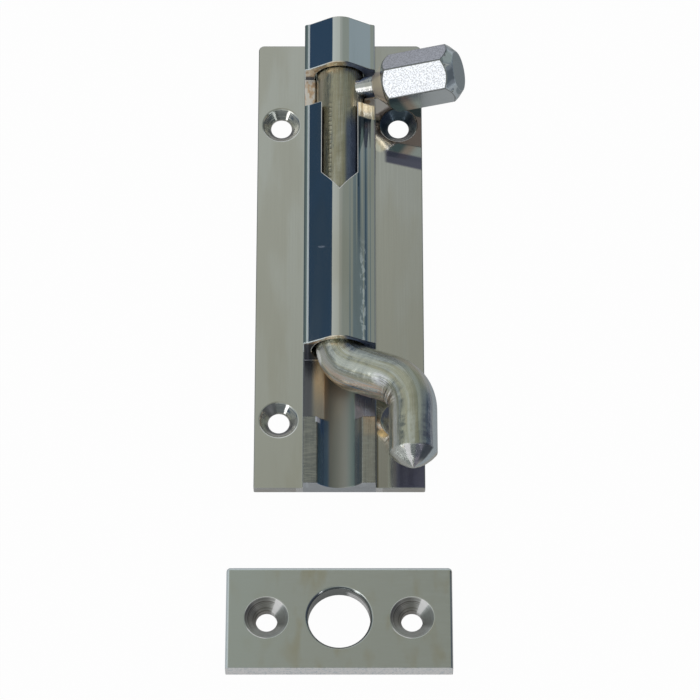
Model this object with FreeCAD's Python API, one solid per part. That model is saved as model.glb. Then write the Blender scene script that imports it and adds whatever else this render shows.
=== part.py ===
import FreeCAD, Part
import math
import os

from FreeCAD import Vector

# Necked barrel bolt lying on its back, in millimetres.
# The origin is the centre of the back plate's underside, +Z points away from
# the door, the bolt runs along Y and shoots towards -Y, the knob is on +X.

# Back plate
plate_width = 35.0
plate_length = 104.0
plate_thickness = 2.2
plate_upper_corner_radius = 1.2
plate_lower_corner_radius = 0.3

# Countersunk screw holes in the back plate
screw_hole_diameter = 4.4
screw_head_diameter = 8.0
screw_spacing = 25.0
upper_screws_from_end = 19.5
lower_screws_from_end = 15.3
countersink_angle = 90.0

# Ridge-backed rib that the bolt slides in, all heights from the underside
rib_width = 14.9
rib_side_height = 11.2
rib_crest_height = 14.8
rib_crest_radius = 4.0
rib_edge_radius = 0.45
shoulder_width = 1.1
shoulder_rise = 0.2

# What is milled out of the rib, from its upper end downwards
guide_length = 11.15
gap_length = 8.55
gap_floor_height = 6.8
barrel_length = 55.9
pocket_length = 13.5
pocket_floor_height = 3.3
toe_height = 5.0

# Slot that the knob's stem runs down, ending in a point
slot_width = 7.5
slot_length = 21.7
slot_point_angle = 78.0

# Bolt: one round bar with a crank at its lower end
rod_diameter = 9.8
rod_clearance = 0.4
rod_axis_height = 7.6
mouth_flare = 0.45
mouth_depth = 1.5
rod_inset = 0.6
rod_end_chamfer = 0.5
crank_offset = 15.93
crank_angle = 64.5
crank_upper_radius = 7.0
crank_lower_radius = 9.0
crank_inset = 1.55
crank_end_length = 12.6
tip_length = 3.3
tip_bulge = 0.45

# Knob: a round stem screwed into the bar, with a six-sided grip
stem_diameter = 5.0
stem_rest_clearance = 0.1
stem_side_clearance = 1.2
grip_across_flats = 10.8
grip_start = 12.2
grip_length = 14.6
grip_shoulder_length = 4.0
grip_end_radius = 4.2
grip_clocking = 31.0
thread_diameter = 4.0
thread_length = 5.5
thread_clearance = 0.05
tapping_extra_depth = 0.8

# Keep plate, lying beyond the lower end
keep_width = 45.3
keep_depth = 21.5
keep_thickness = 3.9
keep_distance = 18.0
keep_back_corner_radius = 0.8
keep_rim_radius = 0.6
keep_hole_diameter = 12.5
keep_hole_lip = 0.45
keep_screw_spacing = 29.1
keep_screw_hole_diameter = 4.3
keep_screw_head_diameter = 8.8

# Length by which a cutter runs past the face it cuts
past = 1.0

# Places that follow from the sizes
plate_top_y = plate_length / 2
plate_bottom_y = -plate_length / 2
guide_end_y = plate_top_y - guide_length
barrel_top_y = guide_end_y - gap_length
barrel_end_y = barrel_top_y - barrel_length
toe_start_y = barrel_end_y - pocket_length

rod_radius = rod_diameter / 2
bore_radius = rod_radius + rod_clearance
stem_radius = stem_diameter / 2
knob_y = guide_end_y - stem_radius - stem_side_clearance

slot_tip_y = barrel_top_y - slot_length
slot_shoulder_y = slot_tip_y + slot_width / 2 / math.tan(math.radians(slot_point_angle / 2))

# The stem rests on the edge between the gap's floor and the bore, which sets the angle
edge_drop = rod_axis_height - gap_floor_height
rest_angle = math.degrees(
    math.asin((stem_radius + stem_rest_clearance) / bore_radius)
    - math.asin(edge_drop / bore_radius)
)

rod_axis = Vector(0, 0, rod_axis_height)
along_y = Vector(0, 1, 0)


def uprights(plate, side):
    """Upright edges of a plain plate on its +Y side (1) or its -Y side (-1)."""
    found = []
    for edge in plate.Edges:
        start, end = edge.Vertexes[0].Point, edge.Vertexes[1].Point
        if start.y * side > 0 and end.y * side > 0 and abs(start.z - end.z) > past / 10:
            found.append(edge)
    return found


def plain_plate(width, depth, thickness):
    """Flat plate on z = 0, centred on the origin."""
    return Part.makeBox(width, depth, thickness, Vector(-width / 2, -depth / 2, 0))


def screw_hole(x, y, top, hole_diameter, head_diameter):
    """Cutter for one countersunk screw hole, open below z = 0."""
    hole_radius = hole_diameter / 2
    head_radius = head_diameter / 2
    slope = math.tan(math.radians(countersink_angle / 2))
    sink_depth = (head_radius - hole_radius) / slope
    outline = [
        Vector(0, 0, -past),
        Vector(hole_radius, 0, -past),
        Vector(hole_radius, 0, top - sink_depth),
        Vector(head_radius, 0, top),
        Vector(head_radius, 0, top + past),
        Vector(0, 0, top + past),
        Vector(0, 0, -past),
    ]
    face = Part.Face(Part.makePolygon(outline))
    cutter = face.revolve(Vector(0, 0, 0), Vector(0, 0, 1), 360)
    cutter.translate(Vector(x, y, 0))
    return cutter


def rib_outline(y):
    """Section of the rib: upright sides, narrow shoulders and a round ridge."""
    half_width = rib_width / 2
    foot_x = half_width - shoulder_width
    foot_z = rib_side_height + shoulder_rise
    centre_z = rib_crest_height - rib_crest_radius

    # Tangent point of the flank on the ridge's arc
    reach = math.hypot(foot_x, foot_z - centre_z)
    lean = math.acos(rib_crest_radius / reach) + math.atan2(foot_z - centre_z, foot_x)
    tangent_x = rib_crest_radius * math.cos(lean)
    tangent_z = centre_z + rib_crest_radius * math.sin(lean)

    corner_x = half_width - rib_edge_radius
    corner_z = rib_side_height - rib_edge_radius
    diagonal = rib_edge_radius * math.sqrt(0.5)

    def right_then_left(x, z):
        return Vector(x, y, z), Vector(-x, y, z)

    base, base_left = right_then_left(half_width, 0)
    side, side_left = right_then_left(half_width, corner_z)
    bulge, bulge_left = right_then_left(corner_x + diagonal, corner_z + diagonal)
    edge, edge_left = right_then_left(corner_x, rib_side_height)
    foot, foot_left = right_then_left(foot_x, foot_z)
    ridge, ridge_left = right_then_left(tangent_x, tangent_z)
    crest = Vector(0, y, rib_crest_height)

    edges = [
        Part.makeLine(base_left, base),
        Part.makeLine(base, side),
        Part.Arc(side, bulge, edge).toShape(),
        Part.makeLine(edge, foot),
        Part.makeLine(foot, ridge),
        Part.Arc(ridge, crest, ridge_left).toShape(),
        Part.makeLine(ridge_left, foot_left),
        Part.makeLine(foot_left, edge_left),
        Part.Arc(edge_left, bulge_left, side_left).toShape(),
        Part.makeLine(side_left, base_left),
    ]
    return Part.Face(Part.Wire(edges))


def rib_cut(from_y, to_y, floor):
    """Cutter that mills the rib down to a floor between two places."""
    width = rib_width + 2 * past
    height = rib_crest_height - floor + past
    return Part.makeBox(width, to_y - from_y, height, Vector(-width / 2, from_y, floor))


def pointed_slot():
    """Cutter for the slot in the barrel's ridge, down to the bolt's axis."""
    half_width = slot_width / 2
    outline = [
        Vector(-half_width, barrel_top_y + past, rod_axis_height),
        Vector(-half_width, slot_shoulder_y, rod_axis_height),
        Vector(0, slot_tip_y, rod_axis_height),
        Vector(half_width, slot_shoulder_y, rod_axis_height),
        Vector(half_width, barrel_top_y + past, rod_axis_height),
        Vector(-half_width, barrel_top_y + past, rod_axis_height),
    ]
    face = Part.Face(Part.makePolygon(outline))
    return face.extrude(Vector(0, 0, rib_crest_height - rod_axis_height + past))


def bore_mouth():
    """Cutter that flares the bore at the barrel's lower end, where the crank starts."""
    inner_end = Vector(0, barrel_end_y + mouth_depth, rod_axis_height)
    return Part.makeCone(
        bore_radius, bore_radius + mouth_flare, mouth_depth, inner_end, -along_y
    )


def barrel_plate():
    """Back plate and rib in one piece, bored, slotted and milled away."""
    plate = plain_plate(plate_width, plate_length, plate_thickness)
    plate = plate.makeFillet(plate_upper_corner_radius, uprights(plate, 1))
    plate = plate.makeFillet(plate_lower_corner_radius, uprights(plate, -1))
    rib = rib_outline(plate_bottom_y).extrude(Vector(0, plate_length, 0))
    body = plate.fuse(rib).removeSplitter()

    cutters = [
        rib_cut(barrel_top_y, guide_end_y, gap_floor_height),
        rib_cut(toe_start_y, barrel_end_y, pocket_floor_height),
        rib_cut(plate_bottom_y - past, toe_start_y, toe_height),
        pointed_slot(),
        Part.makeCylinder(
            bore_radius,
            plate_length + 2 * past,
            Vector(0, plate_bottom_y - past, rod_axis_height),
            along_y,
        ),
        bore_mouth(),
    ]
    for side in (-1, 1):
        x = side * screw_spacing / 2
        for y in (plate_top_y - upper_screws_from_end, plate_bottom_y + lower_screws_from_end):
            cutters.append(
                screw_hole(x, y, plate_thickness, screw_hole_diameter, screw_head_diameter)
            )
    for cutter in cutters:
        body = body.cut(cutter)
    return body


def crank_path():
    """Centre line of the bar in the z = 0 plane, cranked towards +X."""
    turn = math.radians(crank_angle)
    bend_y = barrel_end_y + crank_inset
    both_radii = crank_upper_radius + crank_lower_radius
    slant = (crank_offset - both_radii * (1 - math.cos(turn))) / math.sin(turn)

    def on_upper_bend(angle):
        x = crank_upper_radius * (1 - math.cos(angle))
        return Vector(x, bend_y - crank_upper_radius * math.sin(angle), 0)

    slant_start = on_upper_bend(turn)
    slant_end = slant_start + Vector(math.sin(turn), -math.cos(turn), 0) * slant
    outward = Vector(math.cos(turn), math.sin(turn), 0)
    lower_centre = slant_end - outward * crank_lower_radius

    def on_lower_bend(angle):
        outward = Vector(math.cos(angle), math.sin(angle), 0)
        return lower_centre + outward * crank_lower_radius

    end_start = on_lower_bend(0)
    end = end_start - Vector(0, crank_end_length - tip_length, 0)
    top = Vector(0, plate_top_y - rod_inset - rod_end_chamfer, 0)
    bend_start = on_upper_bend(0)
    edges = [
        Part.makeLine(top, bend_start),
        Part.Arc(bend_start, on_upper_bend(turn / 2), slant_start).toShape(),
        Part.makeLine(slant_start, slant_end),
        Part.Arc(slant_end, on_lower_bend(turn / 2), end_start).toShape(),
        Part.makeLine(end_start, end),
    ]
    return edges, top, end


def domed_tip(end):
    """Blunt point of the bar, turned to a bulging cone."""
    # Middle of the bulge, pushed out square to the line from rim to point
    slope = math.hypot(rod_radius, tip_length)
    middle_x = rod_radius / 2 + tip_bulge * tip_length / slope
    middle_y = -tip_length / 2 - tip_bulge * rod_radius / slope
    rim = Vector(rod_radius, 0, 0)
    point = Vector(0, -tip_length, 0)
    outline = [
        Part.Arc(rim, Vector(middle_x, middle_y, 0), point).toShape(),
        Part.makeLine(point, Vector(0, 0, 0)),
        Part.makeLine(Vector(0, 0, 0), rim),
    ]
    tip = Part.Face(Part.Wire(outline)).revolve(Vector(0, 0, 0), along_y, 360)
    return tip.translated(end)


def knob_seat():
    """Distance from the bar's axis to the flat that the stem stands on."""
    return math.sqrt(rod_radius**2 - stem_radius**2)


def at_rest(shape):
    """Lift a shape made round the y axis to the bore and turn it to rest."""
    placed = shape.translated(rod_axis)
    return placed.rotated(rod_axis, along_y, -rest_angle)


def bolt_rod():
    """Round bar: chamfered top end, tapped seat, crank and blunt tip."""
    edges, top, end = crank_path()
    section = Part.Wire(Part.makeCircle(rod_radius, top, along_y))
    rod = Part.Wire(edges).makePipeShell([section], True, True)
    top_end = Part.makeCone(
        rod_radius, rod_radius - rod_end_chamfer, rod_end_chamfer, top, along_y
    )
    rod = rod.fuse([top_end, domed_tip(end)]).removeSplitter()

    seat = knob_seat()
    tapped = thread_length + tapping_extra_depth
    along_x = Vector(1, 0, 0)
    spot_face = Part.makeCylinder(stem_radius, rod_radius, Vector(seat, knob_y, 0), along_x)
    tapping = Part.makeCylinder(
        thread_diameter / 2 + thread_clearance,
        tapped + past,
        Vector(seat - tapped, knob_y, 0),
        along_x,
    )
    return at_rest(rod.cut(spot_face).cut(tapping))


def knob():
    """Six-sided grip coned at both ends, with its stem and screwed end."""
    corner_radius = grip_across_flats / 2 / math.cos(math.radians(30))
    grip_end = grip_start + grip_length
    chamfer = corner_radius - grip_end_radius
    stem_end = grip_start - grip_shoulder_length
    seat = knob_seat()

    outline = [
        Vector(stem_end, 0, 0),
        Vector(stem_end, stem_radius, 0),
        Vector(grip_start, corner_radius, 0),
        Vector(grip_end - chamfer, corner_radius, 0),
        Vector(grip_end, grip_end_radius, 0),
        Vector(grip_end, 0, 0),
        Vector(stem_end, 0, 0),
    ]
    along_x = Vector(1, 0, 0)
    turned = Part.Face(Part.makePolygon(outline)).revolve(Vector(0, 0, 0), along_x, 360)

    corners = []
    for step in range(7):
        angle = math.radians(grip_clocking + 30 + 60 * step)
        corners.append(
            Vector(stem_end, -corner_radius * math.sin(angle), corner_radius * math.cos(angle))
        )
    six_sided = Part.Face(Part.makePolygon(corners)).extrude(along_x * (grip_end - stem_end))
    grip = turned.common(six_sided)

    stem = Part.makeCylinder(stem_radius, stem_end - seat, Vector(seat, 0, 0), along_x)
    screwed_end = Part.makeCylinder(
        thread_diameter / 2, thread_length, Vector(seat - thread_length, 0, 0), along_x
    )
    whole = grip.fuse([stem, screwed_end]).removeSplitter()
    whole.translate(Vector(0, knob_y, 0))
    return at_rest(whole)


def keep_blank():
    """Keep with its top rolled over at the sides and back, and its front left as sawn."""
    plate = plain_plate(keep_width, keep_depth, keep_thickness)
    plate = plate.makeFillet(keep_back_corner_radius, uprights(plate, 1))
    rim = []
    for edge in plate.Edges:
        middle = edge.CenterOfMass
        on_top = abs(middle.z - keep_thickness) < past / 10
        if on_top and middle.y > past - keep_depth / 2:
            rim.append(edge)
    return plate.makeFillet(keep_rim_radius, rim)


def keep_plate():
    """Flat keep with a hole for the bolt and two countersunk screw holes."""
    plate = keep_blank()
    lip_top = Vector(0, 0, keep_thickness - keep_hole_lip)
    hole_radius = keep_hole_diameter / 2
    hole = Part.makeCylinder(hole_radius, keep_thickness + 2 * past, Vector(0, 0, -past))
    lip = Part.makeCone(
        hole_radius, hole_radius + keep_hole_lip + past, keep_hole_lip + past, lip_top
    )
    cutters = [hole, lip]
    for side in (-1, 1):
        cutters.append(
            screw_hole(
                side * keep_screw_spacing / 2,
                0,
                keep_thickness,
                keep_screw_hole_diameter,
                keep_screw_head_diameter,
            )
        )
    for cutter in cutters:
        plate = plate.cut(cutter)
    return plate.translated(Vector(0, plate_bottom_y - keep_distance - keep_depth / 2, 0))


def main():
    os.makedirs("parts", exist_ok=True)
    nodes = {
        "barrel_plate": barrel_plate(),
        "bolt_rod": bolt_rod(),
        "knob": knob(),
        "keep_plate": keep_plate(),
    }
    for name, shape in nodes.items():
        solid = shape.Solids[0]
        print(name, "solids", len(shape.Solids), "volume", round(solid.Volume, 1))
        solid.exportStep(f"parts/{name}.step")
    print("rest angle", round(rest_angle, 2), "knob y", round(knob_y, 2))


main()
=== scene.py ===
import logging
import math
from dataclasses import dataclass
from enum import Enum
from functools import reduce

import bmesh
import bpy
from mathutils import Matrix, Vector


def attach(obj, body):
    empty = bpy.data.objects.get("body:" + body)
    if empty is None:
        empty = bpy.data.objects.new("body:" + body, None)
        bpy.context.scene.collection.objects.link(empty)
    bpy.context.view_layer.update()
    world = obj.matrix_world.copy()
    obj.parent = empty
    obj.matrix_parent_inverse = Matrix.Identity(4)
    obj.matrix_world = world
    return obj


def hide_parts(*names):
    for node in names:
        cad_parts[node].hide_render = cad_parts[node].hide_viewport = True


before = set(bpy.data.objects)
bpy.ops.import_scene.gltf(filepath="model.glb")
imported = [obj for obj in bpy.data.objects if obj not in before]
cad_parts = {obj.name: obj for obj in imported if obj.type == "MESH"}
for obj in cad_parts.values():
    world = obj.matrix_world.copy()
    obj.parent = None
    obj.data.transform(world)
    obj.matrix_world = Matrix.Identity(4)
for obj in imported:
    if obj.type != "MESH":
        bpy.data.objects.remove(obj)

# Looks of a nickel-plated necked barrel bolt that lies on a pale table: a plate
# with a ridged rib, a cranked bar with its six-sided knob, and a loose keep.

Colour = tuple[float, float, float]

LOG = logging.getLogger("necked_bolt")
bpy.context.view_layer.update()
MM = 0.001
WELD = 2e-6
TINY = 0.001
LEVEL_WITHIN = math.radians(0.3)
EASED_ABOVE = math.radians(25.0)
KNOB_LEAN = math.radians(20.7)
ROUNDED_EDGE = "rounded_edge"
WHITE: Colour = (1.0, 1.0, 1.0)


class Rides(Enum):
    """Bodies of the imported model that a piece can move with."""

    PLATES = "fixed_plates"
    BOLT = "bolt"


class Signal:
    """A shader socket that Python's operators work on, each adding a Math node."""

    def __init__(self, graph: "Graph", socket: bpy.types.NodeSocket) -> None:
        """Wrap one output socket of a graph."""
        self.graph = graph
        self.socket = socket

    def _math(self, operation: str, *values: "Signal | float") -> "Signal":
        """Join values with one Math node and return its result."""
        inputs = dict(enumerate(values))
        return self.graph.add("ShaderNodeMath", {"operation": operation}, inputs)

    def __add__(self, other: "Signal | float") -> "Signal":
        """Sum of two values."""
        return self._math("ADD", self, other)

    def __radd__(self, other: float) -> "Signal":
        """Sum with a plain number on the left."""
        return self._math("ADD", other, self)

    def __sub__(self, other: "Signal | float") -> "Signal":
        """Difference of two values."""
        return self._math("SUBTRACT", self, other)

    def __rsub__(self, other: float) -> "Signal":
        """Difference from a plain number on the left."""
        return self._math("SUBTRACT", other, self)

    def __mul__(self, other: "Signal | float") -> "Signal":
        """Product of two values."""
        return self._math("MULTIPLY", self, other)

    def __rmul__(self, other: float) -> "Signal":
        """Product with a plain number on the left."""
        return self._math("MULTIPLY", other, self)

    def __truediv__(self, other: "Signal | float") -> "Signal":
        """Quotient of two values."""
        return self._math("DIVIDE", self, other)

    def __pow__(self, other: "Signal | float") -> "Signal":
        """First value to the power of the second."""
        return self._math("POWER", self, other)

    def __abs__(self) -> "Signal":
        """Size of the value without its sign."""
        return self._math("ABSOLUTE", self)

    def sine(self) -> "Signal":
        """Sine of the value in radians."""
        return self._math("SINE", self)

    def highest(self, other: "Signal | float") -> "Signal":
        """Larger of two values."""
        return self._math("MAXIMUM", self, other)

    def step(self, low: float, high: float) -> "Signal":
        """Rise smoothly from 0 at low to 1 at high.

        Args:
            low: Value where the step is still 0.
            high: Value where the step has reached 1, which may lie below low.

        Returns:
            The step, from 0 to 1.
        """
        ends = {"From Min": min(low, high), "From Max": max(low, high)}
        rise = {"To Min": float(low > high), "To Max": float(low < high)}
        settings = {"interpolation_type": "SMOOTHSTEP"}
        return self.graph.add("ShaderNodeMapRange", settings, {"Value": self, **ends, **rise})

    def between(self, low: float, high: float, blur: float) -> "Signal":
        """Mask that is 1 from low to high and fades to 0 within blur outside."""
        return self.step(low - blur, low) * self.step(high + blur, high)


class Graph:
    """Adds nodes to the node tree of one material, light or world."""

    def __init__(self, tree: bpy.types.NodeTree) -> None:
        """Clear the tree and keep it."""
        self.tree = tree
        tree.nodes.clear()

    def node(
        self, kind: str, settings: dict | None = None, inputs: dict | None = None
    ) -> bpy.types.Node:
        """Add one node of any type.

        Args:
            kind: The node's type.
            settings: Its own settings, set before its sockets. The key stops fills a ramp.
            inputs: Socket name or number to a value or a Signal.

        Returns:
            The new node.
        """
        node = self.tree.nodes.new(kind)
        for name, value in (settings or {}).items():
            if name == "stops":
                self._fill_ramp(node.color_ramp, value)
            else:
                setattr(node, name, value)
        for name, value in (inputs or {}).items():
            if isinstance(value, Signal):
                self.tree.links.new(value.socket, node.inputs[name])
            else:
                node.inputs[name].default_value = value
        return node

    def add(
        self,
        kind: str,
        settings: dict | None = None,
        inputs: dict | None = None,
        output: str | int = 0,
    ) -> Signal:
        """Add one node and return one of its outputs.

        Args:
            kind: The node's type.
            settings: Its own settings.
            inputs: Socket name or number to a value or a Signal.
            output: Name or number of the output that is wanted.

        Returns:
            The output as a Signal.
        """
        return Signal(self, self.node(kind, settings, inputs).outputs[output])

    @staticmethod
    def _fill_ramp(ramp: bpy.types.ColorRamp, stops: list[tuple[float, Colour]]) -> None:
        """Give a new ramp its stops.

        Args:
            ramp: The ramp, with the two stops that it starts with.
            stops: Each a place from 0 to 1 and its colour, lowest first.
        """
        while len(ramp.elements) < len(stops):
            ramp.elements.new(1.0)
        for element, (place, colour) in zip(ramp.elements, stops):
            element.position = place
            element.color = (*colour, 1.0)

    def output(self, kind: str, shader: Signal) -> None:
        """Join the finished shader to an output node of the given type."""
        self.tree.links.new(shader.socket, self.node(kind).inputs[0])

    def mix(self, low: Signal | Colour, high: Signal | Colour, part: Signal | float) -> Signal:
        """Blend two colours.

        Args:
            low: Colour where part is 0.
            high: Colour where part is 1.
            part: Share of the second colour.

        Returns:
            The blended colour.
        """
        # The node's colours are its sockets 6, 7 and, out of it, 2. Its numbers and
        # vectors have the same names.
        ends = {6: low, 7: high}
        for key, value in ends.items():
            if not isinstance(value, Signal):
                ends[key] = (*value, 1.0)
        return self.add("ShaderNodeMix", {"data_type": "RGBA"}, {0: part, **ends}, 2)

    def layered(
        self, colour: Signal | Colour, layers: tuple[tuple[Colour | Signal, Signal], ...]
    ) -> Signal:
        """Lay colours over a colour, one after the other.

        Args:
            colour: The colour at the bottom.
            layers: Each a colour and its share, from 0 to 1.

        Returns:
            The colour that shows.
        """
        for tone, share in layers:
            colour = self.mix(colour, tone, share)
        return colour

    def millimetres(self) -> Signal:
        """Place on the piece in millimetres."""
        place = self.add("ShaderNodeTexCoord", output="Object")
        return self.scaled(place, (1 / MM, 1 / MM, 1 / MM))

    def facing(self) -> Signal:
        """Direction that the surface faces on the piece."""
        return self.add("ShaderNodeTexCoord", output="Normal")

    def parts(self, vector: Signal) -> tuple[Signal, Signal, Signal]:
        """Split a vector into its x, y and z."""
        node = self.node("ShaderNodeSeparateXYZ", None, {0: vector})
        return tuple(Signal(self, socket) for socket in node.outputs)

    def attribute(self, name: str, output: str) -> Signal:
        """Value that the mesh stores at its points."""
        return self.add("ShaderNodeAttribute", {"attribute_name": name}, None, output)

    def towards(self, across: Signal, along: Signal, bearing: float) -> Signal:
        """Cosine of the angle between a place's direction from a middle and a bearing.

        Args:
            across: Offset from the middle along the first axis.
            along: Offset from the middle along the second axis.
            bearing: Bearing in degrees from the first axis towards the second.

        Returns:
            1 on the bearing, 0 square to it.
        """
        turn = math.radians(bearing)
        distance = (across * across + along * along) ** 0.5
        return (across * math.cos(turn) + along * math.sin(turn)) / distance.highest(TINY)

    def turning(self, distance: Signal, scale: float) -> Signal:
        """Noise that changes with the distance from an axis alone, as turning lines do."""
        place = self.add("ShaderNodeCombineXYZ", None, {0: distance})
        return self.noise(place, scale, 2.0)

    def scaled(self, place: Signal, scale: tuple[float, float, float]) -> Signal:
        """Stretch a position, so that a pattern on it gets longer or shorter."""
        return self.add("ShaderNodeVectorMath", {"operation": "MULTIPLY"}, {0: place, 1: scale})

    def noise(self, place: Signal, scale: float, detail: float) -> Signal:
        """Noise from 0 to 1 about 0.5 on a position."""
        inputs = {"Vector": place, "Scale": scale, "Detail": detail}
        return self.add("ShaderNodeTexNoise", None, inputs, "Fac")

    def stretched(self, place: Signal, scale: tuple[float, float, float], detail: float) -> Signal:
        """Noise on a position whose grain has its own size along each axis."""
        return self.noise(self.scaled(place, scale), 1.0, detail)

    def relief(self, layers: tuple[tuple[Signal, float], ...]) -> Signal:
        """Normal of a surface with reliefs laid over each other.

        Args:
            layers: Each a height from 0 to 1 and its depth in millimetres.

        Returns:
            The normal.
        """
        under = {}
        for height, depth in layers:
            inputs = {"Height": height, "Distance": depth * MM, "Strength": 1.0, **under}
            under = {"Normal": self.add("ShaderNodeBump", None, inputs)}
        return under["Normal"]


def oval_spot(
    across: Signal,
    along: Signal,
    middle: tuple[float, float],
    reach: tuple[float, float],
    core: float,
) -> Signal:
    """Oval spot that fades out towards its rim.

    Args:
        across: Place along the spot's first axis.
        along: Place along its second axis.
        middle: The spot's middle.
        reach: From the middle to the rim, on each axis.
        core: Share of the oval's area that isn't faded.

    Returns:
        1 in the core, 0 outside the rim.
    """
    first = (across - middle[0]) / reach[0]
    second = (along - middle[1]) / reach[1]
    return (first ** 2.0 + second ** 2.0).step(1.0, core)


@dataclass(frozen=True)
class Coat:
    """What one region of a piece adds to its finish.

    Layers are colours with their shares. Lit holds the shares that look like paint more
    than like metal, rough holds what adds to the roughness, and relief holds heights
    with their depths in millimetres.
    """

    layers: tuple[tuple[Colour | Signal, Signal], ...] = ()
    lit: tuple[Signal, ...] = ()
    rough: tuple[Signal, ...] = ()
    relief: tuple[tuple[Signal, float], ...] = ()

    def __add__(self, other: "Coat") -> "Coat":
        """Lay another coat over this one.

        Args:
            other: The coat that comes on top.

        Returns:
            Both coats as one.
        """
        return Coat(
            self.layers + other.layers,
            self.lit + other.lit,
            self.rough + other.rough,
            self.relief + other.relief,
        )


@dataclass(frozen=True)
class Plating:
    """Nickel plate over brass, the same for every piece."""

    tint: Colour = (0.70, 0.70, 0.68)
    stain: Colour = (0.63, 0.61, 0.55)
    brass: Colour = (0.84, 0.59, 0.36)
    roughness: float = 0.07

    def material(self, name: str) -> bpy.types.Material:
        """Make the material.

        Args:
            name: Name of the new material.

        Returns:
            The material, with one Principled shader.
        """
        made = bpy.data.materials.new(name)
        made.use_nodes = True
        graph = Graph(made.node_tree)
        inputs = {"Metallic": 1.0, "Base Color": (*self.tint, 1.0), "Roughness": self.roughness}
        inputs.update(self.surface(graph))
        shader = graph.add("ShaderNodeBsdfPrincipled", None, inputs)
        graph.output("ShaderNodeOutputMaterial", shader)
        return made

    def surface(self, graph: Graph) -> dict[str, Signal]:
        """Sockets of the shader that vary over the surface."""
        return {}


class PlateRegions:
    """Masks, from 0 to 1, of the plate's regions, and the patterns that run over them."""

    def __init__(self, graph: Graph, sizes: "PolishedPlate") -> None:
        """Work out the masks and patterns.

        Args:
            graph: Graph of the material.
            sizes: The finish, whose fields hold the plate's sizes in millimetres.
        """
        self.graph = graph
        place = graph.millimetres()
        self.x, self.y, self.z = graph.parts(place)
        _, self.face_y, self.face_z = graph.parts(graph.facing())
        self.across = abs(self.x)
        self.rounded_edge = graph.attribute(ROUNDED_EDGE, "Fac")

        self.clouds = graph.stretched(place, (0.16, 0.035, 0.16), 3.0)
        self.drawn = graph.stretched(place, (0.8, 0.012, 0.8), 2.0)
        self.streaks = graph.stretched(place, (2.2, 0.06, 2.2), 3.0)
        self.ticks = graph.stretched(place, (0.5, 5.0, 0.5), 2.0)
        self.blots = graph.stretched(place, (1.0, 0.55, 1.0), 2.0)
        self.grit = graph.noise(place, 6.0, 3.0)

        side, top = sizes.rib_side, sizes.plate_top
        self.on_rib = self.across.step(side + 0.05, side - 0.05)
        self.sawn = abs(self.face_y).step(0.75, 0.9) * self.across.step(side + 1.5, side + 1.3)
        self.cut_face = self.sawn * self.on_rib * self.y.step(sizes.toe, sizes.toe + 0.5)
        past_barrel = self.y.step(sizes.barrel_end + 0.05, sizes.barrel_end)
        cut_away = self.y.between(*sizes.gap, 0.05).highest(past_barrel)
        on_floor = self.z.between(top - 0.1, sizes.highest_floor, 0.1)
        self.milled = self.on_rib * cut_away * on_floor * (1 - self.sawn)
        self.channel = self.milled * self.across.step(sizes.channel_side + 0.4, sizes.channel_side)
        self.on_side = self.z.step(top + 0.2, top + 0.4) * (1 - self.milled) * self.on_rib
        self.on_plate = self.z.step(top + 0.1, top) * self.face_z.step(0.9, 0.97)

        spacing = sizes.upper_screw_y - sizes.lower_screw_y
        self.hole_x = self.x - (self.x.step(-0.1, 0.1) * 2 - 1) * sizes.screw_x
        self.hole_y = self.y - self.y.step(-0.1, 0.1) * spacing - sizes.lower_screw_y
        self.from_screw = (self.hole_x ** 2.0 + self.hole_y ** 2.0) ** 0.5
        in_head = self.from_screw.step(sizes.screw_head + 0.1, sizes.screw_head)
        self.sunk = in_head * self.face_z.step(0.95, 0.85)


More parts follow.
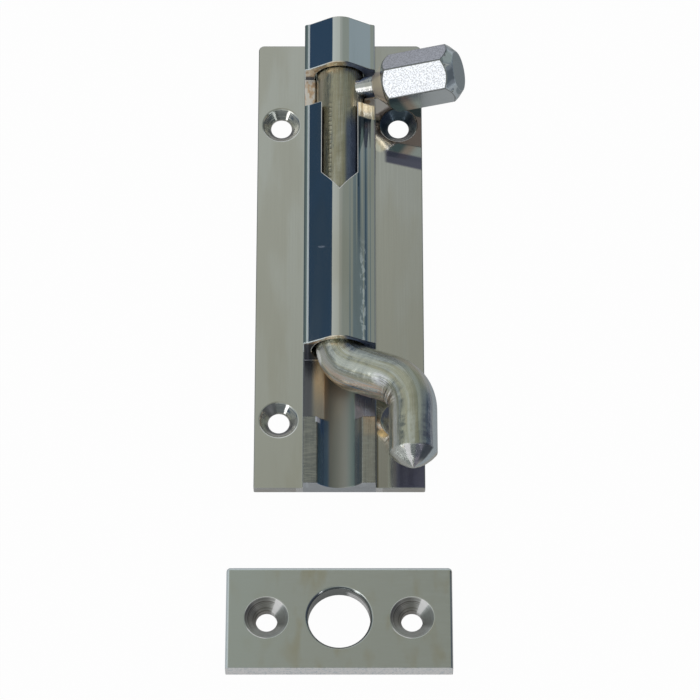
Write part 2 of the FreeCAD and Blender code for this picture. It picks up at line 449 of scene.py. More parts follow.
@dataclass(frozen=True)
class PolishedPlate(Plating):
    """Mirror-bright faces, with milled floors and sawn ends left as the tools left them.

    The marks on it are tarnish, scratches, and painted highlights, painted reflections
    and painted shade that stand for a room that isn't modelled. The first fields are the
    tones of its floors, side, flat, holes and ends, and the others are places and sizes in
    millimetres.
    """

    dull: Colour = (0.31, 0.32, 0.32)
    dull_right: Colour = (0.42, 0.41, 0.38)
    mill_mark: Colour = (0.22, 0.23, 0.24)
    channel_left: Colour = (0.39, 0.385, 0.365)
    channel_right: Colour = (0.36, 0.43, 0.40)
    speckle: Colour = (0.50, 0.50, 0.47)
    groove_reflection_navy: Colour = (0.20, 0.31, 0.48)
    corner_shade: Colour = (0.31, 0.32, 0.43)
    pocket_wall: Colour = (0.17, 0.17, 0.21)
    lilac: Colour = (0.78, 0.81, 0.92)
    gap_gleam: Colour = (1.0, 0.96, 0.88)
    gap_brown: Colour = (0.66, 0.50, 0.36)

    guide: Colour = (0.77, 0.79, 0.79)
    wedge_dark: Colour = (0.30, 0.36, 0.34)
    foot_dark: Colour = (0.17, 0.23, 0.24)
    ice: Colour = (0.90, 1.0, 1.0)
    crown_gold: Colour = (1.0, 0.92, 0.72)
    crown_brown: Colour = (0.78, 0.64, 0.42)
    scratched: Colour = (0.55, 0.64, 0.72)

    edge_dark: Colour = (0.13, 0.15, 0.17)
    outline_grey: Colour = (0.28, 0.30, 0.29)
    toe_light: Colour = (0.55, 0.53, 0.50)
    toe_line: Colour = (0.24, 0.22, 0.18)
    reflected_dark: Colour = (0.15, 0.155, 0.22)
    gold: Colour = (1.0, 0.80, 0.45)
    rose: Colour = (0.58, 0.52, 0.53)
    cream: Colour = (1.0, 0.96, 0.84)

    hole_deep: Colour = (0.26, 0.27, 0.28)
    hole_shade: Colour = (0.34, 0.34, 0.35)
    hole_navy: Colour = (0.12, 0.16, 0.20)
    sawn_light: Colour = (0.86, 0.87, 0.88)
    sawn_blue: Colour = (0.48, 0.52, 0.56)
    mouth_dark: Colour = (0.11, 0.12, 0.15)
    mouth_tan: Colour = (0.78, 0.62, 0.47)
    mouth_gleam: Colour = (1.0, 0.95, 0.85)
    mouth_navy: Colour = (0.20, 0.26, 0.42)
    rim_gold: Colour = (1.0, 0.90, 0.74)
    rim_blue: Colour = (0.85, 0.95, 1.0)
    rim_dark: Colour = (0.10, 0.12, 0.16)

    scratch_at: tuple[float, float] = (-3.7, -2.4)
    glint_at: tuple[float, float] = (9.0, -39.7)
    flash_at: tuple[float, float] = (8.6, 27.4)
    rib_side: float = 7.45
    channel_side: float = 3.0
    gap: tuple[float, float] = (32.3, 40.85)
    barrel_end: float = -23.6
    toe: float = -37.1
    highest_floor: float = 7.0
    plate_top: float = 2.2
    screw_x: float = 12.5
    upper_screw_y: float = 32.5
    lower_screw_y: float = -36.7
    screw_head: float = 4.0
    slot_side: float = 3.75
    slot_tip: float = 10.6
    slot_slant: float = math.radians(39.0)

    def surface(self, graph: Graph) -> dict[str, Signal]:
        """Sockets of the shader that vary over the surface.

        Args:
            graph: Graph of the material.

        Returns:
            Each socket's name with what feeds it.
        """
        at = PlateRegions(graph, self)
        drawing = Coat(
            rough=(at.clouds.step(0.45, 0.7) * 0.03, at.streaks.step(0.5, 0.8) * 0.03),
            relief=((at.streaks * (1 - at.sawn) * (1 - at.sunk), 0.003),),
        )
        coat = self.rib_coat(at) + drawing + self.floor_coat(at) + self.flat_coat(at)
        coat = coat + self.hole_coat(at) + self.end_coat(at) + self.rim_coat(at)
        colour = graph.mix(self.tint, self.stain, at.clouds.step(0.42, 0.62) * 0.6)
        lit = reduce(Signal.highest, coat.lit)
        return {
            "Base Color": graph.layered(colour, coat.layers),
            "Roughness": sum(coat.rough, self.roughness),
            "Metallic": 1 - lit - (at.sawn - at.cut_face) * 0.5,
            "Normal": graph.relief(coat.relief),
        }

    def rib_coat(self, at: PlateRegions) -> Coat:
        """Outside of the rib, with the hollows and the shoulder that drawing left, and painted
        reflections, shade and highlights on its flanks.

        Args:
            at: The plate's regions.

        Returns:
            What the rib's outside adds.
        """
        x, y, on_side = at.x, at.y, at.on_side
        barrel = on_side * y.step(self.gap[0] - 0.1, self.gap[0] - 0.3)
        tapering = x.between(3.7, 4.9, 0.3) * y.step(-16.0, 12.0)
        hollow = (x * 4.33 - 1.61).sine() * tapering.highest(x.between(5.1, 6.2, 0.3))
        shoulder = x.step(2.1, 2.95)

        above_gap = on_side * y.step(self.gap[1], self.gap[1] + 0.2)
        wedge_side = y.step(18.0, 26.0) * 1.3 + 4.1
        wedge = on_side * x.step(3.75, 3.9) * (wedge_side - x).step(0.0, 0.15)
        wedge = wedge * y.between(12.0, 28.6, 0.4)
        foot = on_side * x.step(-6.76, -6.80)
        foot_line = on_side * x.between(-6.72, -6.38, 0.05)
        scuffs = on_side * x.between(4.3, 5.3, 0.2) * y.step(2.0, -6.0) * at.blots.step(0.5, 0.6)
        crown = on_side * x.step(3.9, 4.0) * y.between(28.9, 32.2, 0.3)
        slanting = y + (x - self.scratch_at[0]) * 0.3
        scratch = oval_spot(x, slanting, self.scratch_at, (1.0, 0.3), 0.3)
        scratch = scratch * on_side * at.ticks.step(0.40, 0.50)
        return Coat(
            layers=(
                (self.guide, above_gap),
                # Painted reflection: a dark wedge on the right flank.
                (self.wedge_dark, wedge),
                # Painted shade: a dark line at the foot of the left flank.
                (self.foot_dark, foot),
                # Painted highlight along the foot of the left flank, and light scuffs on the right
                # flank.
                (self.ice, foot_line.highest(scuffs * 0.5)),
                # Painted highlights: gold and brown blotches at the barrel's top end on the right.
                (self.crown_gold, crown),
                (self.crown_brown, crown * at.streaks.step(0.48, 0.56)),
                (self.scratched, scratch * 0.8),
            ),
            lit=(foot * 0.3, foot_line * 0.65, scuffs * 0.3, crown * 0.45, scratch * 0.25),
            relief=(
                (at.drawn * on_side * (1 - at.sawn), 0.012),
                (hollow * barrel, 0.014),
                (shoulder * barrel, 0.05),
            ),
        )

    def floor_coat(self, at: PlateRegions) -> Coat:
        """Milled floors of the gap, the pocket and the toe, and the channel along them, with
        painted shade in the pocket, a painted reflection beside the groove and painted highlights.

        Args:
            at: The plate's regions.

        Returns:
            What the floors add.
        """
        x, y, z, milled = at.x, at.y, at.z, at.milled
        floor = at.graph.layered(
            self.dull,
            (
                (self.dull_right, x.step(3.0, 4.5)),
                (self.mill_mark, at.streaks.step(0.45, 0.65) * 0.4),
                (self.channel_left, at.channel),
                (self.channel_right, at.channel * x.step(1.0, 3.0)),
            ),
        )
        speckled = milled * (1 - at.channel) * z.between(4.6, 5.4, 0.1) * at.ticks.step(0.46, 0.6)
        groove_side = milled * x.between(-4.7, -2.6, 0.8) * z.step(4.9, 4.6)
        in_corner = milled * x.step(3.0, 3.3) * y.step(self.toe - 0.1, self.toe + 0.1)
        in_gap = milled * z.step(5.5, 6.5)
        on_pocket = milled * z.step(4.0, 3.6) * y.step(self.toe, self.toe + 0.1)
        beside_groove = on_pocket * x.between(-4.7, -3.0, 1.2) * (y.step(-36.0, -27.0) * 0.6 + 0.2)
        toe_corner = milled * x.between(-4.8, -3.2, 0.2) * y.between(-38.3, -37.3, 0.2)
        toe_corner = toe_corner * z.step(3.8, 4.4)
        warm_toe = milled * x.step(4.6, 5.2) * z.step(4.6, 4.9) * y.between(-40.5, self.toe, 1.5)
        ridged = milled * (1 - at.channel) * (1 - in_corner)
        return Coat(
            layers=(
                (floor, milled * z.step(5.4, 5.2)),
                (self.speckle, speckled * 0.6),
                # Painted reflection: navy along the left side of the groove.
                (self.groove_reflection_navy, groove_side * y.step(self.toe, self.toe - 0.4)),
                # Painted shade in the pocket's corner by the toe.
                (self.corner_shade, in_corner * 0.8),
                # Painted shade on the pocket floor beside its left wall.
                (self.pocket_wall, on_pocket * x.step(-5.0, -6.2) * 0.8),
                # Painted highlight: a lilac spot on the toe's left corner.
                (self.lilac, toe_corner),
                (self.brass, in_gap.highest(beside_groove).highest(warm_toe * 0.25)),
                # Painted highlights: bright blots on the brass in the gap.
                (self.gap_gleam, in_gap * at.blots.step(0.36, 0.56)),
                (self.gap_brown, in_gap * at.blots.step(0.40, 0.30)),
            ),
            lit=(toe_corner * 0.6, in_gap * 0.85, beside_groove * 0.2),
            rough=(milled * 0.18, at.channel * 0.14),
            relief=((at.streaks * ridged, 0.02), (at.ticks * ridged, 0.010)),
        )

    def flat_coat(self, at: PlateRegions) -> Coat:
        """Flat of the plate: painted shade along its edges, and painted reflections, shade
        and highlights under the knob, neck and toe.

        Args:
            at: The plate's regions.

        Returns:
            What the flat adds.
        """
        x, y, on_plate = at.x, at.y, at.on_plate
        top_edge = at.rounded_edge * y.step(51.3, 51.6) * x.step(0.5, 2.0)
        long_edges = at.rounded_edge * at.z.step(2.4, 2.3) * at.across.step(17.0, 17.3)
        beside_toe = on_plate * x.between(7.4, 9.8, 0.5) * y.step(-40.6, -42.0)
        along_toe = on_plate * x.between(7.4, 7.9, 0.1) * y.step(-30.0, -41.0)
        # Painted reflection: a dark patch where the knob and the neck are mirrored in the flat.
        under_knob = x.step(9.2, 10.2) * (y + x * 0.25).between(26.2, 28.6, 0.6)
        under_neck = x.step(9.6, 12.4) * y.step(-40.0, -44.5)
        reflection_patch = on_plate * under_knob.highest(under_neck)
        under_stem = on_plate * x.between(7.4, 11.4, 0.3) * y.between(35.2, 40.0, 0.8)
        glint = on_plate * oval_spot(x, y, self.glint_at, (1.4, 1.2), 0.3)
        flash = on_plate * oval_spot(x, y, self.flash_at, (1.3, 1.8), 0.3)
        return Coat(
            layers=(
                # Painted shade: dark lines along the rounded top edge and the long edges.
                (self.edge_dark, top_edge * 0.85),
                (self.outline_grey, long_edges * 0.6),
                # Painted reflection: a darker strip on the flat beside the toe.
                (self.toe_light, beside_toe),
                # Painted shade: a dark line along the toe's side.
                (self.toe_line, along_toe),
                # Painted reflection of the knob and the neck.
                (self.reflected_dark, reflection_patch),
                # Painted highlight: a gold glint beside the toe.
                (self.gold, glint),
                # Painted reflection of the stem.
                (self.rose, under_stem * 0.8),
                # Painted highlight: a cream flash under the knob.
                (self.cream, flash),
            ),
            lit=(reflection_patch * 0.5, glint * 0.5),
        )

    def hole_coat(self, at: PlateRegions) -> Coat:
        """Screw holes, with turning lines, a painted highlight on the lower edge, and painted
        shade in dark sectors and under the knob.

        Args:
            at: The plate's regions.

        Returns:
            What the holes add.
        """
        x, y, sunk = at.x, at.y, at.sunk
        turned = at.graph.turning(at.from_screw, 5.0)
        deep = sunk * at.hole_y.step(0.0, -1.0) * at.from_screw.step(3.3, 2.7)
        shade = sunk * x.step(0.0, -1.0) * y.step(0.0, -1.0)
        shade = shade * at.graph.towards(at.hole_x, at.hole_y, 124.0).step(0.88, 0.95)
        under_knob = sunk * x.step(0.0, 1.0) * y.step(0.0, 1.0)
        crescent = at.rounded_edge * at.from_screw.between(3.6, 4.6, 0.1) * at.hole_y.step(-1.0, -2.0)
        return Coat(
            layers=(
                # Painted shade: darker low in the holes, dark sectors, and navy under the knob.
                (self.hole_deep, deep),
                (self.hole_shade, shade),
                (self.hole_navy, under_knob * (at.hole_x - at.hole_y).step(2.5, 0.5)),
                # Painted highlight on the lower edge.
                (WHITE, crescent),
            ),
            lit=(crescent * 0.5,),
            rough=(under_knob * 0.2, shade * 0.3),
            relief=((turned * sunk, 0.04),),
        )

    def end_coat(self, at: PlateRegions) -> Coat:
        """Sawn ends of the rib, and the faces of the guide and barrel round the bore, which
        carry painted reflections and shade.

        Args:
            at: The plate's regions.

        Returns:
            What the ends add.
        """
        x, sawn = at.x, at.sawn
        over_bore = (at.z + at.y.step(0.0, 1.0) * 2.6).step(10.4, 11.6)
        # Painted reflections and shade: dark, with a tan and gleaming band over the bore and navy
        # to the right.
        mouth = at.graph.layered(
            self.mouth_dark,
            (
                (self.mouth_tan, over_bore),
                (self.mouth_gleam, over_bore * at.blots.step(0.5, 0.58)),
                (self.mouth_navy, x.step(0.5, 2.0)),
            ),
        )
        return Coat(
            layers=(
                (self.sawn_light, sawn * at.grit.step(0.35, 0.6)),
                (mouth, at.cut_face),
                (self.sawn_blue, sawn * at.on_rib * at.y.step(-50.0, -51.0) * 0.8),
            ),
            lit=(at.cut_face * x.step(0.5, 2.0) * 0.3,),
            rough=(sawn * 0.25,),
            relief=((at.grit * sawn, 0.05),),
        )

    def rim_coat(self, at: PlateRegions) -> Coat:
        """Broken edges round the gap and the barrel's mouth, and along the slot, with painted
        highlights and painted shade.

        Args:
            at: The plate's regions.

        Returns:
            What the edges add.
        """
        x = at.x
        rim = at.rounded_edge * abs(at.face_y).step(0.15, 0.4) * at.z.step(6.9, 7.2)
        past_point = at.across * math.cos(self.slot_slant)
        past_point = past_point - (at.y - self.slot_tip) * math.sin(self.slot_slant)
        past_slot = (at.across - self.slot_side).highest(past_point)
        lip = at.rounded_edge * past_slot.between(-0.1, 0.3, 0.05) * at.z.step(9.0, 10.0)
        lip = lip * at.y.step(self.gap[0] - 0.3, self.gap[0] - 0.5)
        return Coat(
            layers=(
                # Painted highlights in gold and blue, painted shade to the right, and a painted
                # white highlight along the slot.
                (self.rim_gold, rim * x.step(1.6, 0.6)),
                (self.rim_blue, rim * x.step(-2.5, -3.5)),
                (self.rim_dark, rim * x.step(0.6, 1.6)),
                (WHITE, lip),
            ),
            lit=(
                rim * x.step(1.0, 0.0) * at.blots.step(0.42, 0.52) * 0.9,
                rim * x.between(-2.0, -0.8, 0.4),
                lip * 0.8,
            ),
            rough=(rim * 0.2, lip * 0.3),
        )


@dataclass(frozen=True)
class HandPolishedBar(Plating):
    """Streaks that follow the bar round its neck, duller where it slides in the bore, which
    is partly wear and partly painted shade.

    Places are in millimetres on the straight bar, before it is bent, and y runs along it.
    """

    tint: Colour = (0.72, 0.735, 0.69)
    stain: Colour = (0.57, 0.56, 0.45)
    roughness: float = 0.26
    dull: Colour = (0.455, 0.41, 0.295)
    chatter_dark: Colour = (0.22, 0.20, 0.15)
    slot_shade: Colour = (0.22, 0.24, 0.28)
    navy: Colour = (0.17, 0.21, 0.31)
    copper: Colour = (0.95, 0.66, 0.48)
    highlight_white: Colour = (0.97, 0.98, 1.0)
    right_grey: Colour = (0.47, 0.50, 0.54)
    outer_blue: Colour = (0.66, 0.75, 0.80)
    sparkle_white: Colour = (1.0, 1.0, 0.98)
    crease_highlight: Colour = (1.0, 0.96, 0.90)
    crease_shade: Colour = (0.22, 0.19, 0.17)
    tip_lilac: Colour = (0.50, 0.48, 0.54)
    tip_dark: Colour = (0.16, 0.18, 0.20)
    bend_highlight_at: tuple[float, float] = (-1.9, -38.5)
    sparkle_at: tuple[float, float] = (-4.3, -24.2)
    slides_above: float = -20.0
    tip: float = -56.9
    attribute: str = "straightened"

    def surface(self, graph: Graph) -> dict[str, Signal]:
        """Sockets of the shader that vary over the surface.

        Args:
            graph: Graph of the material.

        Returns:
            Each socket's name with what feeds it.
        """
        metres = graph.attribute(self.attribute, "Vector")
        place = graph.scaled(metres, (1 / MM, 1 / MM, 1 / MM))
        y = graph.parts(place)[1]
        streaks = graph.stretched(place, (0.9, 0.05, 0.9), 4.0)
        fine = graph.stretched(place, (4.0, 0.2, 4.0), 3.0)
        lumps = graph.stretched(place, (0.22, 0.3, 0.22), 2.0)
        ground = y.step(self.tip + 0.2, self.tip - 0.2)
        colour = graph.mix(self.tint, self.stain, streaks.step(0.42, 0.6) * (1 - ground))
        colour = graph.mix(colour, self.brass, streaks.step(0.60, 0.72) * 0.3)
        polish = Coat(
            rough=(fine.step(0.4, 0.7) * 0.08,),
            relief=((lumps, 0.3), (streaks, 0.11), (fine, 0.015)),
        )
        coat = polish + self.slot_coat(graph, place, fine)
        coat = coat + self.neck_coat(graph, place, fine, ground)
        coat = coat + self.tip_coat(graph, place, ground)
        return {
            "Base Color": graph.layered(colour, coat.layers),
            "Roughness": sum(coat.rough, self.roughness),
            "Metallic": 1 - sum(coat.lit),
            "Normal": graph.relief(coat.relief),
        }

    def slot_coat(self, graph: Graph, place: Signal, fine: Signal) -> Coat:
        """Part that slides in the bore, darker from wear and painted shade, with chatter marks
        where the slot shows it and painted reflections of the slot's walls beside it.

        Args:
            graph: Graph of the material.
            place: Place on the straight bar in millimetres.
            fine: The fine streaks.

        Returns:
            What this part adds.
        """
        x, y, z = graph.parts(place)
        ticks = graph.stretched(place, (0.6, 5.0, 0.6), 2.0)
        slides = y.step(self.slides_above - 3.0, self.slides_above + 3.0)
        chatter = (y * 5.7).sine().step(0.2, 0.9) * y.between(14.0, 32.0, 1.0)
        chatter = chatter * x.between(-0.7, 0.0, 0.1) * z.step(0.0, 1.0)
        beside_slot = x.step(2.5, 3.2).highest(x.step(-2.8, -3.3)).highest(y.step(12.6, 11.4))
        beside_slot = beside_slot * y.step(31.5, 26.0) * y.step(8.5, 9.0) * z.step(1.0, 2.0)
        on_right = beside_slot * x.step(2.2, 3.6)
        return Coat(
            layers=(
                # Wear and painted shade where the bar slides in the bore.
                (self.dull, slides * (0.6 + fine.step(0.4, 0.7) * 0.3)),
                (self.chatter_dark, chatter * 0.6),
                # Painted reflections of the slot's walls: dark beside the slot, navy on its right.
                (self.slot_shade, beside_slot),
                (self.navy, on_right),
            ),
            lit=(on_right * 0.2,),
            relief=((ticks * slides, 0.015), (chatter, 0.06)),
        )

    def neck_coat(self, graph: Graph, place: Signal, fine: Signal, ground: Signal) -> Coat:
        """Neck, creased inside the bend, with a painted highlight over the bend, painted
        shade and a painted reflection along its sides, a painted glint near the mouth, and
        painted light and dark lines in its folds.

        Args:
            graph: Graph of the material.
            place: Place on the straight bar in millimetres.
            fine: The fine streaks.
            ground: Mask of the ground tip.

        Returns:
            What the neck adds.
        """
        x, y, z = graph.parts(place)
        below = x.step(-2.8, -3.8) * y.between(-45.0, -27.0, 2.0) * fine.step(0.45, 0.6)
        bend_highlight = oval_spot(x, y, self.bend_highlight_at, (1.7, 3.2), 0.1)
        bend_highlight = bend_highlight * z.step(0.0, 0.5) * fine.step(0.38, 0.5)
        right_side = graph.towards(x, z, 34.0).step(0.94, 0.98) * y.step(-43.0, -47.0)
        outer_side = graph.towards(x, z, 2.0).step(0.95, 0.985) * y.step(-40.0, -45.0)
        sparkle = oval_spot(x, y, self.sparkle_at, (1.0, 1.3), 0.3) * z.step(-0.5, 0.5)
        creases = graph.stretched(place, (0.25, 1.5, 0.25), 2.0)
        creased = x.step(-1.6, -3.0) * y.between(-46.5, -40.5, 1.0)
        ridges = creased * creases.step(0.52, 0.58)
        return Coat(
            layers=(
                (self.copper, below * 0.8),
                # Painted highlight over the bend.
                (self.highlight_white, bend_highlight),
                # Painted shade along the lower arm's right side, and a painted pale reflection on
                # its outer edge.
                (self.right_grey, right_side * (1 - ground)),
                (self.outer_blue, outer_side),
                # Painted glint near the barrel's mouth.
                (self.sparkle_white, sparkle),
                # Painted highlights and painted shade in the folds.
                (self.crease_highlight, ridges),
                (self.crease_shade, creased * creases.step(0.44, 0.38)),
            ),
            lit=(bend_highlight * 0.45, sparkle * 0.8, ridges * 0.4),
        )

    def tip_coat(self, graph: Graph, place: Signal, ground: Signal) -> Coat:
        """Ground tip, with painted reflection sectors, lilac, dark and white, as the room round
        it would show.

        Args:
            graph: Graph of the material.
            place: Place on the straight bar in millimetres.
            ground: Mask of the ground tip.

        Returns:
            What the tip adds.
        """
        x, _, z = graph.parts(place)
        from_axis = (x ** 2.0 + z ** 2.0) ** 0.5
        dim = graph.towards(x, z, 48.0).step(0.94, 0.98) * ground
        dark = graph.towards(x, z, 30.0).step(0.945, 0.985) * ground * from_axis.step(1.2, 3.0)
        bright = graph.towards(x, z, 86.0).step(0.985, 0.996) * ground
        return Coat(
            # Painted reflections of the room.
            layers=((self.tip_lilac, dim), (self.tip_dark, dark), (WHITE, bright)),
            lit=(bright * 0.95,),
            rough=(dark * 0.1,),
            relief=((graph.noise(place, 0.7, 1.0) * ground, 0.035),),
        )


@dataclass(frozen=True)
class GrainedGrip(Plating):
    """Flats with a fine pitted grain on a bright turned stem; painted reflections, shade and
    highlight.
    """

    tint: Colour = (0.71, 0.705, 0.70)
    stain: Colour = (0.63, 0.61, 0.56)
    roughness: float = 0.14
    flat_lilac: Colour = (0.68, 0.69, 0.73)
    pit: Colour = (0.40, 0.40, 0.43)
    front_light: Colour = (0.72, 0.78, 0.80)
    front_rose: Colour = (0.62, 0.50, 0.46)
    front_dark: Colour = (0.13, 0.20, 0.23)
    cone_warm: Colour = (0.95, 0.86, 0.74)
    end_blue: Colour = (0.62, 0.70, 0.74)
    chamfer_dark: Colour = (0.28, 0.34, 0.37)
    end_dark: Colour = (0.30, 0.38, 0.42)
    edge_dark: Colour = (0.20, 0.20, 0.19)
    under_brown: Colour = (0.45, 0.38, 0.34)
    back_dark: Colour = (0.06, 0.09, 0.11)
    axis_height: float = 7.6
    lean: float = KNOB_LEAN
    cone_start: float = 8.2
    flats_start: float = 11.0

    def surface(self, graph: Graph) -> dict[str, Signal]:
        """Sockets of the shader that vary over the surface.

        Args:
            graph: Graph of the material.

        Returns:
            Each socket's name with what feeds it.
        """
        place = graph.millimetres()
        x, _, z = graph.parts(place)
        face_x, face_y, face_z = graph.parts(graph.facing())
        along = x * math.cos(self.lean) + (z - self.axis_height) * math.sin(self.lean)
        endwise = face_x * math.cos(self.lean) + face_z * math.sin(self.lean)
        grain = graph.noise(place, 3.6, 4.0)
        clouds = graph.noise(place, 0.25, 2.0)
        patches = graph.noise(place, 0.3, 1.0)
        rings = graph.turning(along, 4.0)

        flats = along.step(self.flats_start - 0.5, self.flats_start + 0.5)
        cone = along.between(self.cone_start, self.flats_start, 0.1)
        end = endwise.step(0.3, 0.5)
        chamfer = endwise.between(0.35, 0.85, 0.05)
        front = flats * face_y.step(-0.9, -0.97)
        under = face_z.step(-0.3, -0.6)
        edge = graph.attribute(ROUNDED_EDGE, "Fac") * flats * (1 - end)
        colour = graph.layered(
            graph.mix(self.tint, self.stain, clouds.step(0.45, 0.65) * 0.5),
            (
                (self.flat_lilac, flats),
                (self.pit, flats * grain.step(0.44, 0.60) * 0.55),
                # Painted reflections and shade on the front flat.
                (self.front_light, front),
                (self.front_rose, front * along.step(17.4, 15.4)),
                (self.front_dark, front * along.step(15.2, 13.4)),
                # Painted highlight: a warm cone.
                (self.cone_warm, cone),
                # Painted reflections: blue-grey ends, darker on the end face.
                (self.end_blue, end),
                (self.chamfer_dark, chamfer * patches.step(0.47, 0.56) * 0.8),
                (self.end_dark, endwise.step(0.90, 0.96)),
                (self.edge_dark, edge * 0.8),
                # Painted shade on the underside, darkest at the back.
                (self.under_brown, under),
                (self.back_dark, flats * under * face_y.step(0.2, 0.3)),
            ),
        )
        roughness = self.roughness + flats * grain.step(0.45, 0.65) * 0.12 - (1 - flats) * 0.06
        return {
            "Base Color": colour,
            "Roughness": roughness,
            "Metallic": 1 - chamfer * 0.35 - cone * 0.4,
            "Normal": graph.relief(((grain * flats, 0.015), (rings * (1 - flats), 0.04))),
        }


@dataclass(frozen=True)
class SatinKeep(Plating):
    """Soft sheen with brownish clouds, bright sawn edges, and painted light, shade and highlights.
    """

    tint: Colour = (0.66, 0.685, 0.68)
    stain: Colour = (0.58, 0.53, 0.40)
    roughness: float = 0.16
    left_cool: Colour = (0.66, 0.72, 0.73)
    cone_light: Colour = (0.88, 0.90, 0.90)
    cone_brown: Colour = (0.50, 0.48, 0.45)
    cone_right: Colour = (0.34, 0.35, 0.34)
    turned_dark: Colour = (0.24, 0.22, 0.20)
    wall_grey: Colour = (0.33, 0.35, 0.34)
    rolled_blue: Colour = (0.85, 0.93, 0.97)
    saw_mark: Colour = (0.78, 0.84, 0.87)
    lip_light: Colour = (0.95, 0.97, 0.96)
    middle_y: float = -80.75
    screw_x: float = 14.55
    screw_head: float = 4.4
    hole_radius: float = 6.25

    def surface(self, graph: Graph) -> dict[str, Signal]:
        """Sockets of the shader that vary over the surface.

        Args:
            graph: Graph of the material.

        Returns:
            Each socket's name with what feeds it.
        """
        place = graph.millimetres()
        x, y, z = graph.parts(place)
        _, face_y, face_z = graph.parts(graph.facing())
        y = y - self.middle_y
        clouds = graph.stretched(place, (0.3, 0.12, 0.3), 2.0)
        grain = graph.stretched(place, (0.3, 4.0, 4.0), 3.0)
        grit = graph.noise(place, 2.4, 4.0)
        rounded_edge = graph.attribute(ROUNDED_EDGE, "Fac")
        sawn = face_y.step(-0.75, -0.9) * y.step(-10.0, -10.5)
        rolled = x.step(-21.9, -22.2).highest(y.step(10.0, 10.3)) * (1 - sawn)

        hole_x = x - (x.step(-0.1, 0.1) * 2 - 1) * self.screw_x
        from_screw = (hole_x ** 2.0 + y ** 2.0) ** 0.5
        head = self.screw_head
        sunk = from_screw.step(head + 0.1, head) * face_z.step(0.95, 0.85)
        turned = graph.turning(from_screw, 5.0)
        # Painted shade: countersinks darker towards the upper left and on the right.
        shaded = graph.towards(hole_x, y, 135.0).step(-0.2, 0.8)
        on_right = graph.towards(hole_x, y, 5.0).step(0.75, 0.95)
        cone = graph.mix(self.cone_light, self.cone_brown, shaded)
        cone = graph.mix(cone, self.cone_right, on_right * 0.7)
        lip = rounded_edge * from_screw.between(head - 0.2, head + 0.5, 0.1) * y.step(0.5, 2.0)

        from_middle = (x ** 2.0 + y ** 2.0) ** 0.5
        in_hole = from_middle.step(self.hole_radius + 0.35, self.hole_radius + 0.25)
        wall = in_hole * face_z.step(0.9, 0.7)
        gleam = wall * x.between(2.2, 5.4, 1.0) * y.step(1.5, 2.0) * z.step(2.7, 1.9)
        crescent = rounded_edge * sunk.highest(from_screw.between(head - 0.2, head + 0.4, 0.1))
        crescent = crescent * graph.towards(hole_x, y, 240.0).step(0.80, 0.92)
        wedge = sunk * graph.towards(hole_x, y, 52.0).step(0.97, 0.99)
        bright = wedge.highest(crescent).highest(gleam)

        colour = graph.layered(
            graph.mix(self.tint, self.stain, clouds.step(0.50, 0.80) * 0.6),
            (
                # Painted light: the left side lighter and cooler.
                (self.left_cool, x.step(-6.0, -20.0) * 0.6),
                (cone, sunk),
                # Turning rings, darker on the side with painted shade; painted shade on the hole's
                # wall; a painted highlight on the rolled rim.
                (self.turned_dark, sunk * turned.step(0.42, 0.60) * (0.2 + shaded * 0.8)),
                (self.wall_grey, wall),
                (self.rolled_blue, rolled),
                (WHITE, sawn),
                (self.saw_mark, sawn * grit.step(0.52, 0.62)),
                # Painted highlights: the countersinks' lips, a wedge, a crescent and a gleam in
                # the hole.
                (self.lip_light, lip * 0.7),
                (WHITE, bright),
            ),
        )
        lit = (bright * 0.95).highest(sawn).highest(rolled * 0.5).highest(lip * 0.4)
        relief = (
            (grain * (1 - sawn) * (1 - sunk), 0.003),
            (turned * sunk, 0.08),
            (grit * sawn, 0.12),
        )
        return {
            "Base Color": colour,
            "Roughness": self.roughness + grain.step(0.4, 0.7) * 0.06 + (sawn + sunk) * 0.25,
            "Metallic": 1 - lit,
            "Normal": graph.relief(relief),
        }


def smoothed_piece(shape: bmesh.types.BMesh, name: str) -> bpy.types.Object:
    """Turn a finished bmesh into a smooth-shaded object whose flat faces stay flat.

    Args:
        shape: The mesh, which is freed.
        name: Name of the new object.

    Returns:
        The new object.
    """
    mesh = bpy.data.meshes.new(name)
    shape.to_mesh(mesh)
    shape.free()
    mesh.shade_smooth()
    piece = bpy.data.objects.new(name, mesh)
    bpy.context.scene.collection.objects.link(piece)
    levels = piece.modifiers.new("flat_faces", "WEIGHTED_NORMAL")
    levels.mode = "FACE_AREA"
    levels.weight = 100
    levels.keep_sharp = True
    return piece


def round_edges(shape: bmesh.types.BMesh, width: float) -> None:
    """Round the sharp edges of a mesh over, and mark the points on the roundings.

    Args:
        shape: The mesh.
        width: Width of the rounding in metres.
    """
    rounded_edge = shape.verts.layers.float.new(ROUNDED_EDGE)
    sharp = [edge for edge in shape.edges if edge.calc_face_angle(0.0) > EASED_ABOVE]
    rounded = bmesh.ops.bevel(
        shape,
        geom=sharp,
        offset=width,
        offset_type="OFFSET",
        affect="EDGES",
        segments=3,
        profile=0.5,
        clamp_overlap=False,
        loop_slide=True,
        material=-1,
    )
    on_rounding = set(rounded["faces"])
    for vert in rounded["verts"]:
        vert[rounded_edge] = float(all(face in on_rounding for face in vert.link_faces))


